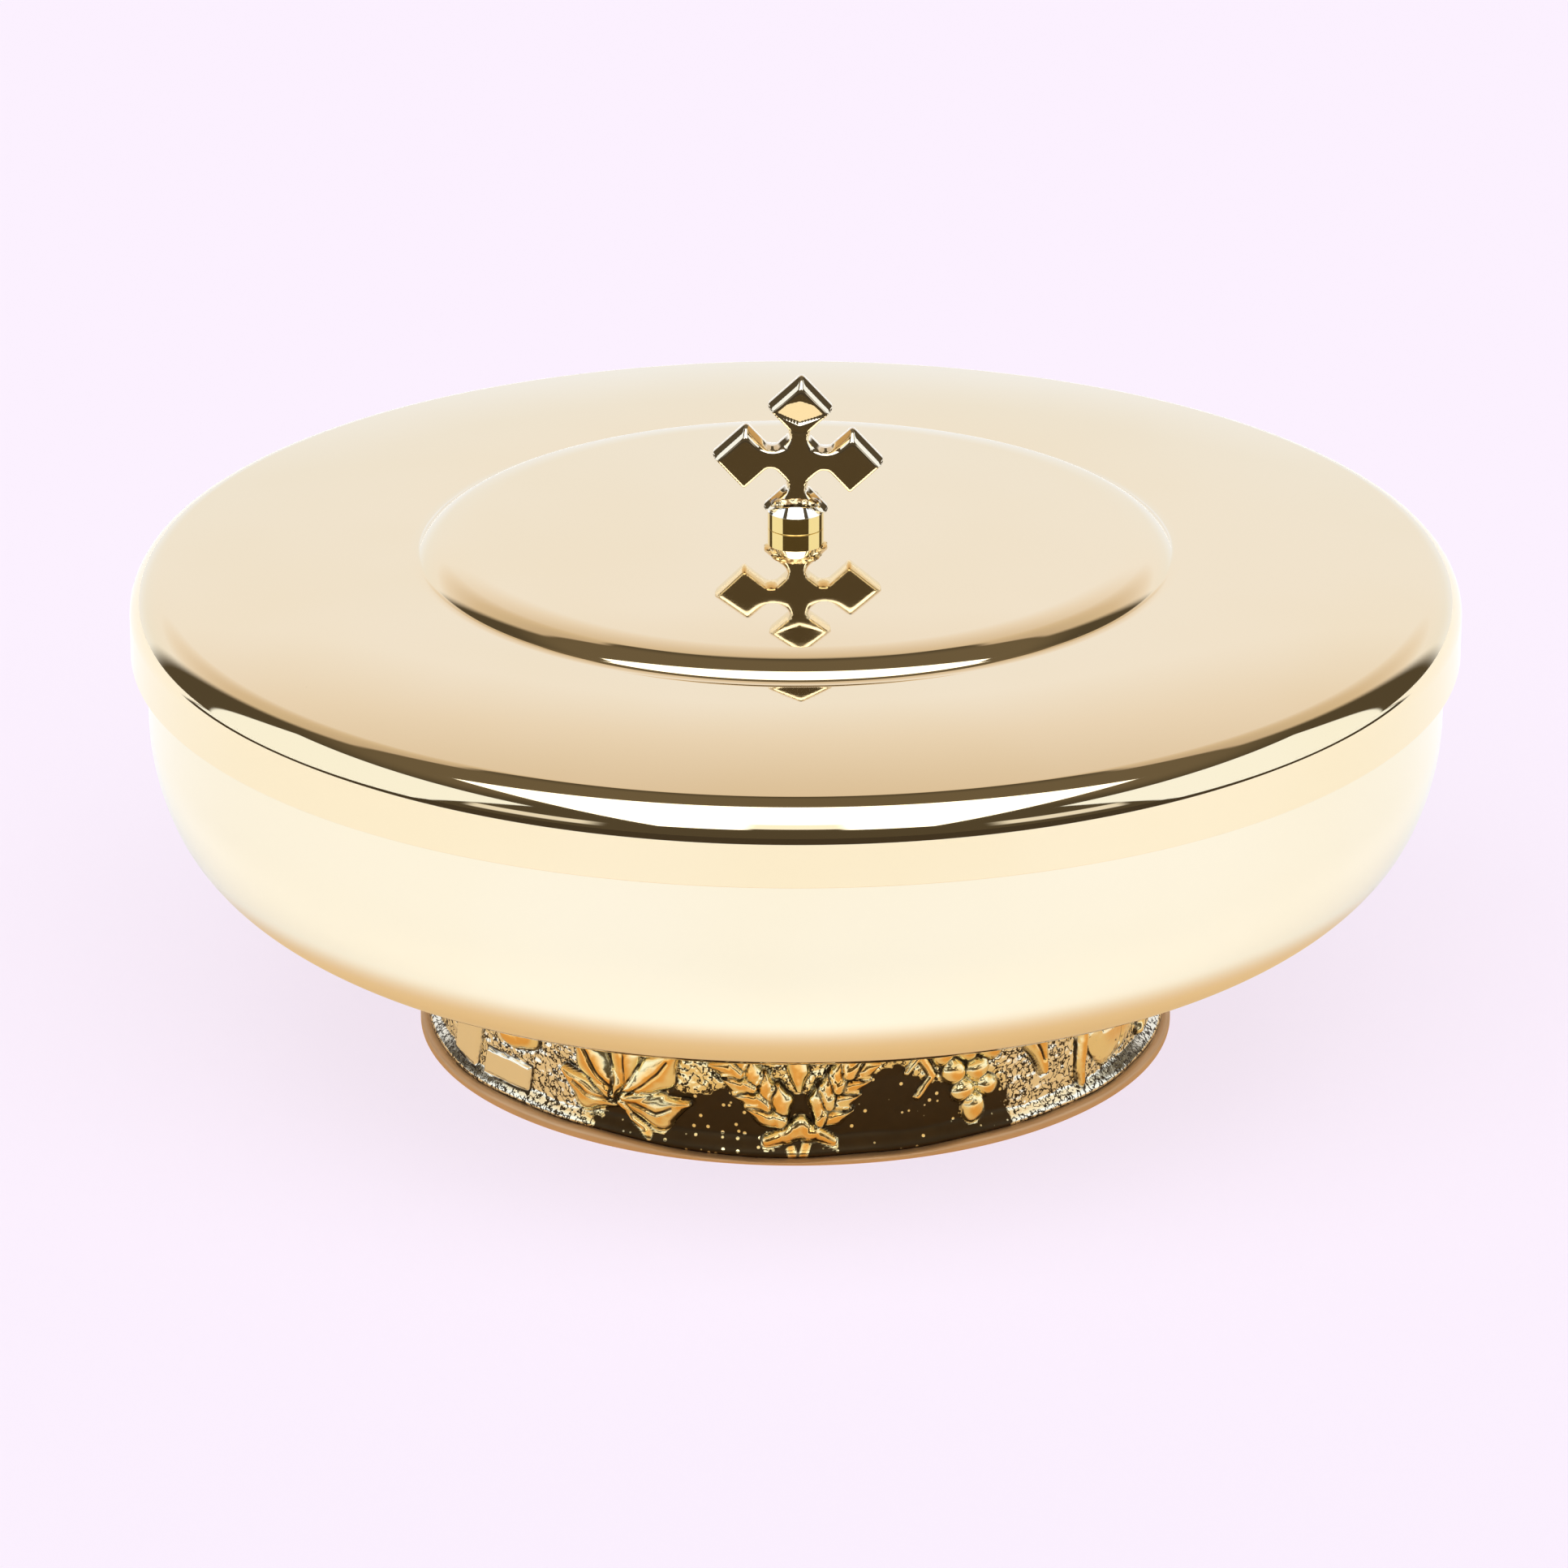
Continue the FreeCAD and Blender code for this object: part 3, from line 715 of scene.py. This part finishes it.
def makeCross():
    line = crossOutline()
    rings = [line[:, :2] - line[:, 2:] * d for d in cross["rings"]]
    step = cross["grid"]
    x, z = np.meshgrid(np.arange(-12.6, 12.6, step), np.arange(-8.3, 12.6, step))
    grid = np.column_stack([x.ravel() + (z.ravel() / step % 2) * step / 2, z.ravel()])
    grid = grid[insideOf(grid, line)]
    everywhere = np.ones(len(line), bool)
    grid = grid[reachTo(grid, line, everywhere) > cross["rings"][-1] + 0.08]
    spots = np.concatenate(rings + [grid])
    count = len(line)
    loop = [(i, (i + 1) % count) for i in range(count)]
    flat, _, faces, *_ = delaunay_2d_cdt([Vector(p) for p in spots.tolist()], loop, [], 1, 1e-6)
    flat = np.array([tuple(p) for p in flat])
    middle = (line[:, 3] + np.roll(line[:, 3], -1)) / 2
    looksUp = middle > 0.05
    upper = softReach(flat, line, looksUp, reachTo(flat, line, looksUp))
    lower = reachTo(flat, line, ~looksUp)
    far, near = cross["pitch"] / 2, cross["half"] - cross["pitch"] / 2
    notch = np.full(len(flat), 9.0)          # the bevel narrows at the notches between lozenges
    for x, z in ((far, near), (near, far), (near, -far)):
        notch = np.minimum(notch, np.hypot(np.abs(flat[:, 0]) - x, flat[:, 1] - z))
    upper = upper * (1 + 1.3 * np.exp(-(notch / 1.3) ** 2))
    raised, tallest = slopeHeight(upper, cross["upper"])
    low, lowTallest = slopeHeight(lower, cross["lower"])
    full = cross["thickness"] / 2 - cross["wall"]
    height = cross["wall"] + full * np.minimum(raised / tallest, low / lowTallest)
    ripple = np.sin(flat[:, 0] * 0.9 + 1.3) * np.cos(flat[:, 1] * 1.1 + 0.4)
    inner = np.clip(np.minimum(upper, lower) / 1.5, 0, 1)
    height -= cross["waviness"] * (1 + ripple) * inner
    facet = cross["facet"]                   # shallow dished facet on the top lozenge
    narrow = np.clip(1 - np.abs(flat[:, 0]) / facet["wide"], 0, 1) ** 0.8
    under, over = (cross["pitch"] + level * narrow for level in (-facet["down"], facet["up"]))
    dip = (over - under) * math.tan(math.radians(facet["tilt"]))
    share = np.clip((flat[:, 1] - under) / np.maximum(over - under, 1e-6), 0, 1)
    back = np.clip((flat[:, 1] - under + facet["run"]) / facet["run"], 0, 1)
    inFacet = (flat[:, 1] > cross["pitch"] - facet["down"] - facet["run"]) & (narrow > 0)
    height -= np.where(inFacet, dip * np.where(flat[:, 1] > under, 1 - share, back), 0)
    edge = reachTo(flat, line, everywhere) < 1e-5
    order = [int(v) for v in np.flatnonzero(edge)]
    around = np.argsort([np.argmin(np.hypot(line[:, 0] - flat[v, 0], line[:, 1] - flat[v, 1]))
                         for v in order])
    order = [order[i] for i in around]
    total = len(flat)
    places = np.concatenate([np.column_stack([flat[:, 0], -height, flat[:, 1]]),
                             np.column_stack([flat[:, 0], height, flat[:, 1]])])
    allFaces = []
    for face in faces:
        allFaces.append(tuple(face))
        allFaces.append(tuple(v + total for v in reversed(face)))
    for i, v in enumerate(order):
        w = order[(i + 1) % len(order)]
        allFaces.append((w, v, v + total, w + total))
    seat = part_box("finial_collar")[0].z / mm + cross["foot"]
    places[:, 2] += cross["pitch"] + cross["cut"]
    lean = math.radians(cross["lean"])
    px, pz = places[:, 0].copy(), places[:, 2].copy()
    places[:, 0] = px * math.cos(lean) + pz * math.sin(lean)
    places[:, 2] = pz * math.cos(lean) - px * math.sin(lean) + seat
    piece = addObject("cross_cast", meshOf("cross_cast", places, allFaces))
    gold = mirrorGold("crossGold", {**mirror, "gold": cross["gold"], "goldWarm": cross["goldWarm"],
                                    "roughLow": 0.015, "roughHigh": 0.035})
    settle(piece, gold, "lid", "finial_cross")


solder = {
    "half": (3.6, 3.0, 1.30),               # along the cross, across it, and up
    "power": (2.2, 5.0, 2.0),
    "lump": 0.20,
    "gold": (0.95, 0.80, 0.50),
    "soot": (0.16, 0.09, 0.035),
}


def makeSolder():
    sideways, upward = 220, 60
    turn = np.linspace(0, 2 * math.pi, sideways, endpoint=False)
    climb = np.linspace(0.0, math.pi / 2 - 0.02, upward)
    t, u = np.meshgrid(turn, climb)
    ray = np.stack([np.cos(t) * np.cos(u), np.sin(t) * np.cos(u), np.sin(u)], -1).reshape(-1, 3)
    half, power = np.array(solder["half"]), solder["power"]
    far = np.ones(len(ray))
    for _ in range(40):                      # push each point out to the blob's surface
        amount = sum(np.abs(ray[:, i] * far / half[i]) ** power[i] for i in range(3))
        far /= np.maximum(amount, 1e-6) ** 0.25
    spots = ray * far[:, None]
    rng = np.random.default_rng(41)
    lumps = rng.uniform(-1, 1, (520, 3)) * half
    sizes = rng.uniform(0.12, 0.34, len(lumps))
    push = np.zeros(len(spots))
    for lump, size in zip(lumps, sizes):
        push = np.maximum(push, np.exp(-((spots - lump) ** 2).sum(1) / size ** 2))
    spots += ray * (push * solder["lump"])[:, None]
    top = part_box("finial_collar")[1].z / mm
    spots = np.concatenate([spots, [[0, 0, half[2]]]]) + [0, 0, top - 0.1]
    faces = [(j * sideways + i, j * sideways + (i + 1) % sideways, (j + 1) * sideways + (i + 1) % sideways,
              (j + 1) * sideways + i) for j in range(upward - 1) for i in range(sideways)]
    last = (upward - 1) * sideways
    faces += [(last + i, last + (i + 1) % sideways, len(spots) - 1) for i in range(sideways)]
    faces.append(tuple(reversed(range(sideways))))
    piece = addObject("cross_solder", meshOf("cross_solder", spots, faces))
    gold = mirrorGold("solderGold", {**mirror, "gold": solder["gold"], "goldWarm": solder["soot"],
                                     "patches": 1100.0, "lineStrength": 0.4,
                                     "roughLow": 0.10, "roughHigh": 0.30})
    settle(piece, gold, "lid", "finial_cross")


makeCollar()
makeCross()
makeSolder()
print("collar and cross made")


# cast ring foot: raised forms over a dark ground

relief = {
    "ground": 51.9,                          # radius of the ground between the forms
    "limit": 53.58,
    "bore": 48.0,
    "columns": 1656,
    "rows": 96,
    "seed": 23,
    "gold": (0.985, 0.85, 0.48),
    # painted shade and reflection of the bowl's underside, in the middle of each form
    "coreShade": (0.93, 0.55, 0.16),
    # painted highlight: cream towards the sides and on the flat tablets
    "creamHighlight": (0.975, 0.92, 0.76),
    "brown": (0.060, 0.040, 0.020),
    "lip": (0.72, 0.28),                     # how far the casting laps down over the plate: front, all round
}


def softNoise(along, up, length, cell, rng):
    count = max(3, round(length / cell))
    lattice = rng.random((count, int(22 / cell) + 4))
    a, b = along / length * count, up / cell + 0.5
    i, j = np.floor(a).astype(int), np.floor(b).astype(int)
    fa, fb = a - i, b - j
    fa, fb = fa * fa * (3 - 2 * fa), fb * fb * (3 - 2 * fb)
    i0, i1 = i % count, (i + 1) % count
    return ((lattice[i0, j] * (1 - fa) + lattice[i1, j] * fa) * (1 - fb)
            + (lattice[i0, j + 1] * (1 - fa) + lattice[i1, j + 1] * fa) * fb)


def ease(value, low, high):
    t = np.clip((value - low) / (high - low), 0, 1)
    return t * t * (3 - 2 * t)


def stroke(patch, spine, widths, lift, texture=0.0, pale=0.0):
    s, v = patch["s"] + patch["wobbleS"], patch["v"] + patch["wobbleV"]
    ratio, outside = np.full(s.shape, 9.0), np.full(s.shape, 9.0)
    for k in range(max(1, len(spine) - 1)):
        (ax, ay), (bx, by) = spine[k], spine[min(k + 1, len(spine) - 1)]
        ex, ey = bx - ax, by - ay
        t = np.clip(((s - ax) * ex + (v - ay) * ey) / max(ex * ex + ey * ey, 1e-9), 0, 1)
        gap = np.hypot(s - ax - t * ex, v - ay - t * ey)
        width = widths[k] + (widths[min(k + 1, len(widths) - 1)] - widths[k]) * t
        ratio = np.minimum(ratio, gap / width)
        outside = np.minimum(outside, gap - width)
    inside = ratio < 1
    crown = lift * np.clip(1 - ratio ** 2, 0, 1) ** 0.55
    patch["height"] = np.where(inside, np.maximum(patch["height"] * 0.35, 0) + crown, patch["height"]
                               - 0.22 * np.exp(-(np.maximum(outside, 0) / 0.35) ** 2))
    patch["line"] = np.where(inside & (outside < -0.2), 0, patch["line"])
    # a dark line round each form: painted shade in the crease at its edge
    patch["line"] = np.maximum(patch["line"], np.exp(-((outside - 0.05) / 0.17) ** 2))
    # the middle of each form is painted darker orange: painted shade and reflection
    coreShade = ease(1 - ratio, 0.30, 0.72)
    for key, level in (("dark", 0.0), ("stipple", texture), ("pale", pale), ("coreShade", coreShade)):
        patch[key] = np.where(inside, level, patch[key])


def incise(patch, spine, width, depth):
    s, v = patch["s"] + patch["wobbleS"], patch["v"] + patch["wobbleV"]
    gap = np.full(s.shape, 9.0)
    for (ax, ay), (bx, by) in zip(spine, spine[1:]):
        ex, ey = bx - ax, by - ay
        t = np.clip(((s - ax) * ex + (v - ay) * ey) / (ex * ex + ey * ey), 0, 1)
        gap = np.minimum(gap, np.hypot(s - ax - t * ex, v - ay - t * ey))
    mark = np.exp(-(gap / width) ** 2)
    patch["height"] = patch["height"] - depth * mark
    # the groove is painted dark too: painted shade
    patch["line"] = np.maximum(patch["line"], mark * 0.85)


def slabOf(patch, corners, lift):
    s, v = patch["s"] + patch["wobbleS"] * 0.4, patch["v"] + patch["wobbleV"] * 0.4
    depth = np.full(s.shape, 9.0)            # corners run counterclockwise
    for (ax, ay), (bx, by) in zip(corners, corners[1:] + corners[:1]):
        size = math.hypot(bx - ax, by - ay)
        depth = np.minimum(depth, ((bx - ax) * (v - ay) - (by - ay) * (s - ax)) / size)
    inside = depth > 0
    patch["height"] = np.where(inside, lift * ease(depth, -0.1, 0.45), patch["height"])
    patch["line"] = np.where(inside, 0, patch["line"])
    # a dark line round each tablet: painted shade in the crease at its edge
    patch["line"] = np.maximum(patch["line"], np.exp(-(depth / 0.16) ** 2))
    for key, level in (("dark", 0.0), ("stipple", 0.0), ("pale", 1.0), ("coreShade", 0.0)):
        patch[key] = np.where(inside, level, patch[key])


def wheat(patch):
    for side, reach in ((-1, 9.4), (1, 8.2)):
        stem = [(side * 0.6, 0.4), (side * 2.4, 4.2), (side * reach, 12.6)]
        stroke(patch, stem, (0.7, 0.6, 0.5), 0.7, 0.3)
        for k in range(4):
            for lean in (-38, 32):
                t = 0.02 + 0.27 * k
                x = stem[1][0] + (stem[2][0] - stem[1][0]) * t
                y = stem[1][1] + (stem[2][1] - stem[1][1]) * t
                angle = math.atan2(stem[2][1] - stem[1][1], stem[2][0] - stem[1][0]) + math.radians(lean)
                size = 5.2 - 0.3 * k
                tip = (x + math.cos(angle) * size, y + math.sin(angle) * size)
                middle = ((x + tip[0]) / 2, (y + tip[1]) / 2)
                stroke(patch, [(x, y), middle, tip], (0.8, 1.65, 0.4), 1.5)
    stroke(patch, [(-4.4, 1.6), (0.2, 3.4), (4.8, 1.4)], (0.9, 1.3, 0.8), 1.2)
    stroke(patch, [(-1.0, 16.6), (0.0, 11.6), (-0.2, 8.6)], (1.9, 1.5, 0.5), 1.3)


def grapes(patch):
    stroke(patch, [(4.2, 16.4), (8.6, 12.6), (10.8, 6.4)], (1.7, 2.5, 0.8), 1.3)
    incise(patch, [(4.8, 15.8), (8.4, 12.4), (10.2, 8.2)], 0.24, 0.45)
    stroke(patch, [(-1.4, 13.4), (0.6, 16.0), (4.8, 17.2)], (0.8, 0.7, 0.9), 0.9)
    for x, y in ((-6.0, 12.2), (-2.5, 12.6), (1.1, 12.1), (-4.4, 9.2), (-0.8, 9.1), (-3.0, 6.1),
                 (0.8, 6.3), (-1.3, 3.4)):
        stroke(patch, [(x, y)], (1.95,), 1.45)
    stroke(patch, [(-9.8, 6.5), (-7.6, 9.4), (-9.6, 12.6), (-11.4, 10.2)], (0.55, 0.6, 0.6, 0.4), 0.7)


def vineLeaf(patch):
    lobes = [((-1, 5.0), (-5.4, 4.6), (-9.8, 7.2)), ((-1, 6.0), (-5.2, 10.0), (-8.0, 14.2)),
             ((0, 6.0), (0.4, 11.5), (-0.4, 17.0)), ((1, 6.0), (5.4, 9.6), (8.4, 13.6)),
             ((1, 5.0), (5.6, 4.0), (9.6, 5.4))]
    for lobe in lobes:
        stroke(patch, lobe, (1.5, 2.7, 0.7), 1.3)
    for root, middle, tip in lobes:
        incise(patch, [root, middle, ((middle[0] + tip[0]) / 2, (middle[1] + tip[1]) / 2)], 0.22, 0.4)
    stroke(patch, [(0.2, 4.6), (1.4, 2.2), (4.4, 0.8)], (0.8, 0.6, 0.6), 0.9)


def fish(patch):
    stroke(patch, [(8.0, 10.6), (11.6, 14.6)], (0.9, 1.9), 1.0, 0.5)
    stroke(patch, [(8.0, 10.6), (12.0, 8.2)], (0.9, 1.8), 1.0, 0.5)
    stroke(patch, [(-9.0, 6.6), (-1.0, 8.8), (8.4, 10.6)], (0.9, 3.7, 1.1), 1.45)
    for k in range(4):
        x = -3.2 + 2.7 * k
        incise(patch, [(x, 12.4 - 0.3 * k), (x + 1.3, 8.9 + 0.3 * k), (x - 0.1, 5.6 + 0.7 * k)], 0.2, 0.35)
    incise(patch, [(-6.2, 7.9), (-6.1, 7.95)], 0.38, 0.5)
    stroke(patch, [(-11, 14.5), (-5.5, 16.4), (0.5, 15.2), (5.5, 16.6)], (0.6, 0.9, 0.7, 0.8), 0.9)
    stroke(patch, [(-8.5, 1.8), (-3.0, 3.2), (3.4, 1.9), (9.5, 3.4)], (0.6, 0.9, 0.7, 0.8), 0.9)


def loaf(patch):
    stroke(patch, [(-1.2, 8.6), (1.2, 9.0)], (6.3, 6.3), 1.4, 0.25, 0.3)
    incise(patch, [(-4.4, 8.4), (4.6, 9.0)], 0.34, 0.6)
    incise(patch, [(0.2, 4.2), (-0.2, 13.4)], 0.34, 0.6)
    stroke(patch, [(-9.4, 2.0), (-8.4, 9.0), (-10.6, 16.4)], (0.8, 1.3, 0.7), 1.1)
    stroke(patch, [(9.0, 3.0), (9.8, 9.0), (8.4, 16.2)], (0.8, 1.3, 0.7), 1.1)


def ripples(patch):
    for k in range(4):
        x = -11.4 + 6.1 * k
        bow = [(x, 18.0), (x - 0.3, 9.5), (x + 0.8, 5.2 - 0.5 * (k % 2)),
               (x + 2.5, 4.8), (x + 3.5, 9.0), (x + 4.0, 18.0)]
        stroke(patch, bow, (0.95, 1.0, 1.1, 1.1, 1.0, 0.9), 1.1, 0.15, 0.35)


def tablets(patch):
    slabOf(patch, [(-10.6, 1.4), (-3.4, 1.2), (0.6, 18.0), (-6.4, 18.0)], 0.95)
    slabOf(patch, [(-1.6, 1.2), (9.4, 1.4), (9.8, 5.6), (-0.6, 5.4)], 0.8)
    stroke(patch, [(4.4, 8.8), (9.4, 9.6), (8.6, 14.4), (3.8, 13.6)], (1.5, 1.7, 1.7, 1.4), 1.2, 0.2)


# twelfths of the way round from the front, a shift in mm, and what stands there
motifs = ((0, 0.4, wheat), (1, 0.0, grapes), (2, 0.6, loaf), (3, -0.4, ripples), (4, 0.0, vineLeaf),
          (5, 0.5, fish), (6, 0.0, wheat), (7, 0.3, tablets), (8, 0.0, grapes), (9, -0.2, ripples),
          (10, 3.4, tablets), (11, 2.2, vineLeaf))


def lipDrop(angle):
    front = np.abs(np.angle(np.exp(1j * (angle + math.pi / 2)))) * relief["ground"]
    wave = 0.13 * np.sin(7 * angle + 1.0) + 0.10 * np.sin(12 * angle + 2.2) + 0.06 * np.sin(19 * angle + 0.5)
    return np.clip(relief["lip"][0] * (1 - ease(front, 12, 30)) + relief["lip"][1] + wave, 0, 1.2)


def makeRelief():
    low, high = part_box("foot_casting")
    bottom, top = low.z / mm, high.z / mm
    columns, rows, ground = relief["columns"], relief["rows"], relief["ground"]
    length = 2 * math.pi * ground
    rng = np.random.default_rng(relief["seed"])
    s, v = np.meshgrid(np.arange(columns) / columns * length, np.linspace(0, top - bottom, rows))
    wobbleS = (softNoise(s, v, length, 3.2, rng) - 0.5) * 0.9
    wobbleV = (softNoise(s, v, length, 3.2, rng) - 0.5) * 0.9
    broad = softNoise(s, v, length, 7.0, rng)
    away = np.abs((s + length / 2) % length - length / 2)    # distance round from the middle of the front
    field = {"height": (softNoise(s, v, length, 5.0, rng) - 0.4) * 0.35, "line": np.zeros(s.shape)}
    upper = ease(v + 7 * (broad - 0.5), 8.5, 11.5)
    field["stipple"] = np.maximum(upper, ease(away + 10 * (broad - 0.5), 25, 31))
    field["dark"] = 1 - field["stipple"]
    field["coreShade"] = np.zeros(s.shape)
    # paler towards the sides, away from the front: a painted highlight
    field["pale"] = ease(away + 30 * (softNoise(s, v, length, 9.0, rng) - 0.5), 22, 34) * 0.9
    field["height"] += field["stipple"] * 0.25
    for place, shift, motif in motifs:
        off = (s[0] - (place / 12 * length + shift) + length / 2) % length - length / 2
        near = np.flatnonzero(np.abs(off) < 15)
        patch = {key: value[:, near] for key, value in field.items()}
        patch.update(s=np.broadcast_to(off[near], (rows, len(near))), v=v[:, near],
                     wobbleS=wobbleS[:, near], wobbleV=wobbleV[:, near])
        motif(patch)
        for key in field:
            field[key][:, near] = patch[key]
    grain = softNoise(s, v, length, 0.75, rng) - 0.5
    fine = softNoise(s, v, length, 0.45, rng) - 0.5
    stippled = field["stipple"]
    raised = field["height"] + stippled * (grain * 0.22 + fine * 0.10) + (1 - stippled) * grain * 0.05
    radius = np.minimum(ground + raised, relief["limit"] - 0.02 * grain)
    radius = np.maximum(radius, ground + 1.6 * ease(v, 2.4, 0.3))    # wider where it meets the plate
    radius -= 0.12 * ease(v, 0.3, 0) + 0.4 * ease(v, top - bottom - 0.6, top - bottom)
    # a dark line along the foot of the relief: painted shadow in the gap over the plate
    field["line"] = np.maximum(field["line"], np.exp(-((v - 0.08) / 0.16) ** 2))
    angle = s / length * 2 * math.pi - math.pi / 2
    z = bottom + v + 0.03 - lipDrop(angle) * np.clip(1 - v / 5, 0, 1)
    outer = np.stack([radius * np.cos(angle), radius * np.sin(angle), np.minimum(z, top)], -1).reshape(-1, 3)
    turn = angle[0]
    rims = [np.column_stack([relief["bore"] * np.cos(turn), relief["bore"] * np.sin(turn), level])
            for level in (np.full(columns, top), bottom + 0.03 - lipDrop(turn))]
    spots = np.concatenate([outer] + rims)
    index = np.arange((rows + 2) * columns).reshape(rows + 2, columns)
    here, over = index, np.roll(index, -1, axis=1)
    faces = []
    for j in range(rows + 2):
        k = (j + 1) % (rows + 2)
        faces.append(np.stack([here[j], over[j], over[k], here[k]], 1))
    mesh = meshOf("foot_relief", spots, np.concatenate(faces).tolist())
    layers = ("line", "dark", "stipple", "pale", "coreShade")
    for key in layers:
        layer = mesh.attributes.new(key, "FLOAT", "POINT")
        values = np.concatenate([field[key].ravel(), np.zeros(2 * columns)])
        layer.data.foreach_set("value", values.astype(np.float32))

    material, tree, shader = finish("castReliefGold")
    point = objectPoint(tree)

    def layerOf(name):
        node = tree.nodes.new("ShaderNodeAttribute")
        node.attribute_name = name
        return node.outputs["Fac"]

    line, dark, stipple, pale, coreShade = [layerOf(key) for key in layers]
    ragged = product(tree, calc(tree, "SUBTRACT", noise(tree, point, 900.0, 2.0), 0.5), 1.3)
    stipple = rise(tree, calc(tree, "ADD", stipple, ragged), 0.42, 0.58)     # a crumbled edge
    dark = rise(tree, calc(tree, "SUBTRACT", dark, ragged), 0.42, 0.58)
    # painted shade and reflection: the forms' middles turn darker orange
    deep = product(tree, coreShade, rise(tree, noise(tree, point, 330.0, 3.0), 0.28, 0.50))
    colour = colourMix(tree, deep, relief["gold"], relief["coreShade"])
    # painted highlight: cream where the pale layer is set
    colour = colourMix(tree, pale, colour, relief["creamHighlight"])
    worm = noise(tree, point, 850.0, 2.5, 0.6)       # fine dark squiggles left in the stippled fields
    squiggle = rise(tree, calc(tree, "ABSOLUTE", calc(tree, "SUBTRACT", worm, 0.5)), 0.050, 0.022)
    squiggle = product(tree, squiggle, stipple)
    speck = specks(tree, point, 1000.0, 0.30, 0.20, 0.66)    # bright metal showing in the dark ground
    bare = product(tree, dark, calc(tree, "SUBTRACT", 1.0, speck))
    # the painted crease shade is broken into patches
    patchy = rise(tree, noise(tree, point, 420.0, 3.0), 0.30, 0.55)
    creaseShade = product(tree, rise(tree, line, 0.25, 0.7), patchy)
    # brown: the ground low at the front, the squiggles, and the painted crease shade
    darkMarksAndCreaseShade = calc(tree, "MAXIMUM", calc(tree, "MAXIMUM", bare, squiggle), creaseShade)
    colour = colourMix(tree, darkMarksAndCreaseShade, colour, relief["brown"])
    tree.links.new(colour, shader.inputs["Base Color"])
    rough = rise(tree, noise(tree, point, 500.0, 3.0), 0.3, 0.7, 0.10, 0.20)
    rough = calc(tree, "ADD", rough, product(tree, darkMarksAndCreaseShade, 0.3))
    tree.links.new(rough, shader.inputs["Roughness"])
    pitted = calc(tree, "ADD", product(tree, worm, calc(tree, "ADD", stipple, 0.12)),
                  product(tree, noise(tree, point, 2400.0, 2.0), 0.15))
    tree.links.new(bump(tree, pitted, 0.35, 0.00015), shader.inputs["Normal"])
    settle(addObject("foot_relief", mesh), material, "vessel", "foot_casting")


makeRelief()
print("cast ring made")


# base plate under the ring

plate = {
    "hole": 3.3,
    "web": 5.5,                              # underside of the web, above the table
    "edgeRound": 0.3,
    "topRound": 0.9,
    "gold": (0.80, 0.56, 0.34),
    "goldDeep": (0.76, 0.52, 0.30),
    "roughLow": 0.56,
    "roughHigh": 0.68,
}


def turnedSatin(name, setting):
    material, tree, shader = finish(name)
    point = objectPoint(tree)
    ringwise = noise(tree, alongLathe(tree, point), 1500.0, 3.0, 0.7)
    blotch = noise(tree, point, 60.0, 2.0)
    tone = calc(tree, "ADD", product(tree, ringwise, 0.6), product(tree, blotch, 0.4))
    colour = colourMix(tree, rise(tree, tone, 0.35, 0.65), setting["gold"], setting["goldDeep"])
    tree.links.new(colour, shader.inputs["Base Color"])
    rough = rise(tree, tone, 0.3, 0.7, setting["roughLow"], setting["roughHigh"])
    tree.links.new(rough, shader.inputs["Roughness"])
    tree.links.new(bump(tree, ringwise, 0.25, 0.00005), shader.inputs["Normal"])
    return material


def makePlate():
    low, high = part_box("foot_base")
    bore = relief["bore"] - 0.15
    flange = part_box("foot_casting")[0].z / mm
    hole, web = plate["hole"], plate["web"]
    corners = [(hole, web, 0.1), (bore - 3.0, web, 0.3), (bore - 3.0, low.z / mm, 0.3),
               (high.x / mm, low.z / mm, plate["edgeRound"]), (high.x / mm, flange, plate["topRound"]),
               (bore, flange, 0.1), (bore, high.z / mm, 0.2), (hole, high.z / mm, 0.1)]
    piece = turned("foot_plate_turned", softLoop(corners, fine=10), segments=720)
    for spot in piece.data.vertices:         # the flange's top gives way under the casting's wavy lip
        x, y, z = (v / mm for v in spot.co)
        if math.hypot(x, y) > bore - 0.01 and z < flange + 0.01:
            share = min(max((z - low.z / mm - 0.3) / (flange - low.z / mm - 0.3), 0), 1)
            spot.co.z -= float(lipDrop(math.atan2(y, x))) * share * mm
    settle(piece, turnedSatin("satinGold", plate), "vessel", "foot_base")


makePlate()
print("base plate made")


# fasteners inside and under the vessel

fittings = {
    "brass": {"gold": (0.80, 0.62, 0.34), "goldDeep": (0.74, 0.56, 0.30),
              "roughLow": 0.20, "roughHigh": 0.34},
    "steel": {"gold": (0.62, 0.62, 0.63), "goldDeep": (0.52, 0.52, 0.54),
              "roughLow": 0.22, "roughHigh": 0.36},
}

brass = turnedSatin("turnedBrass", fittings["brass"])
steel = turnedSatin("springSteel", fittings["steel"])
for name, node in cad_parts.items():
    if not node.hide_render:
        node.data.materials.clear()
        node.data.materials.append(steel if "spring" in name else brass)
print("fittings finished")
